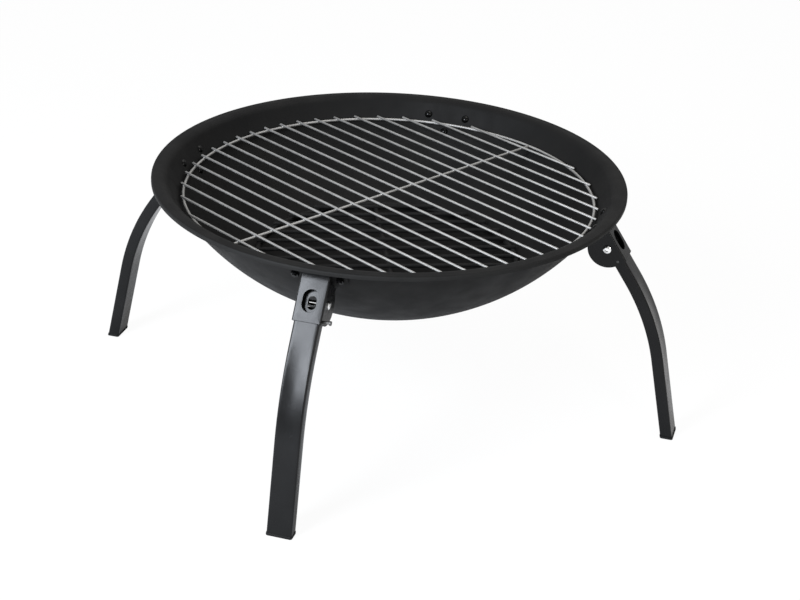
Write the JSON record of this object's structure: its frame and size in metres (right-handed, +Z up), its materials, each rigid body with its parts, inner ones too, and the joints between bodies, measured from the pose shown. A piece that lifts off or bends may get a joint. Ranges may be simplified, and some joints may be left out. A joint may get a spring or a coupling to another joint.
{
  "type": "fire bowl grill",
  "caption": "Round pressed-steel fire bowl on folding bent-tube legs, with a lift-out wire cooking grill above a charcoal grate, for open fires and grilling.",
  "frame": {"origin": "on the floor under the middle of the bowl", "axes": "+Z up; the legs stand on the X and Y axes, with the front leg at -Y"},
  "size_m": [0.7378, 0.7378, 0.28],
  "materials": {
    "bowl_paint": "satin",
    "leg_paint": "satin",
    "grill_wire": "bright plated",
    "grate_wire": "matte",
    "black_bolt": "black",
    "zinc_nut": "zinc plated",
    "zinc_bolt": "zinc plated",
    "dark_pin": "dark oxide",
    "foot_plastic": "matte"
  },
  "bodies": {
    "bowl": {"fire_bowl": "bowl_paint", "hinge_bracket_front": "bowl_paint", "bracket_bolts_front": "black_bolt", "bracket_nuts_front": "black_bolt", "hinge_bracket_right": "bowl_paint", "bracket_bolts_right": "black_bolt", "bracket_nuts_right": "black_bolt", "hinge_bracket_back": "bowl_paint", "bracket_bolts_back": "black_bolt", "bracket_nuts_back": "black_bolt", "hinge_bracket_left": "bowl_paint", "bracket_bolts_left": "black_bolt", "bracket_nuts_left": "black_bolt"},
    "grill": {"grill_ring": "grill_wire", "grill_bars": "grill_wire", "grill_cross_bar": "grill_wire"},
    "grate": {"grate_ring": "grate_wire", "grate_bars": "grate_wire", "grate_cross_bar": "grate_wire"},
    "leg_front": {"leg_tube_front": "leg_paint", "catch_plate_front": "leg_paint", "leg_yoke_front": "leg_paint", "foot_cap_front": "foot_plastic", "pivot_bolt_front": "zinc_bolt", "pivot_nut_front": "zinc_bolt", "pivot_washers_front": "zinc_nut", "cross_pin_front": "dark_pin"},
    "leg_right": {"leg_tube_right": "leg_paint", "catch_plate_right": "leg_paint", "leg_yoke_right": "leg_paint", "foot_cap_right": "foot_plastic", "pivot_bolt_right": "zinc_bolt", "pivot_nut_right": "zinc_bolt", "pivot_washers_right": "zinc_nut", "cross_pin_right": "dark_pin"},
    "leg_back": {"leg_tube_back": "leg_paint", "catch_plate_back": "leg_paint", "leg_yoke_back": "leg_paint", "foot_cap_back": "foot_plastic", "pivot_bolt_back": "zinc_bolt", "pivot_nut_back": "zinc_bolt", "pivot_washers_back": "zinc_nut", "cross_pin_back": "dark_pin"},
    "leg_left": {"leg_tube_left": "leg_paint", "catch_plate_left": "leg_paint", "leg_yoke_left": "leg_paint", "foot_cap_left": "foot_plastic", "pivot_bolt_left": "zinc_bolt", "pivot_nut_left": "zinc_bolt", "pivot_washers_left": "zinc_nut", "cross_pin_left": "dark_pin"}
  },
  "joints": [
    {"name": "grill_lift", "type": "slide", "parent": "bowl", "child": "grill", "axis": [0, 0, 1], "range_m": [0, 0.25]},
    {"name": "grate_lift", "type": "slide", "parent": "bowl", "child": "grate", "axis": [0, 0, 1], "range_m": [0, 0.06]},
    {"name": "leg_front_fold", "type": "hinge", "parent": "bowl", "child": "leg_front", "pos_m": [0, -0.26812, 0.235], "axis": [1, 0, 0], "range_deg": [0, 82]},
    {"name": "leg_right_fold", "type": "hinge", "parent": "bowl", "child": "leg_right", "pos_m": [0.26812, 0, 0.235], "axis": [0, 1, 0], "range_deg": [0, 82]},
    {"name": "leg_back_fold", "type": "hinge", "parent": "bowl", "child": "leg_back", "pos_m": [0, 0.26812, 0.235], "axis": [-1, 0, 0], "range_deg": [0, 82]},
    {"name": "leg_left_fold", "type": "hinge", "parent": "bowl", "child": "leg_left", "pos_m": [-0.26812, 0, 0.235], "axis": [0, -1, 0], "range_deg": [0, 82]}
  ]
}
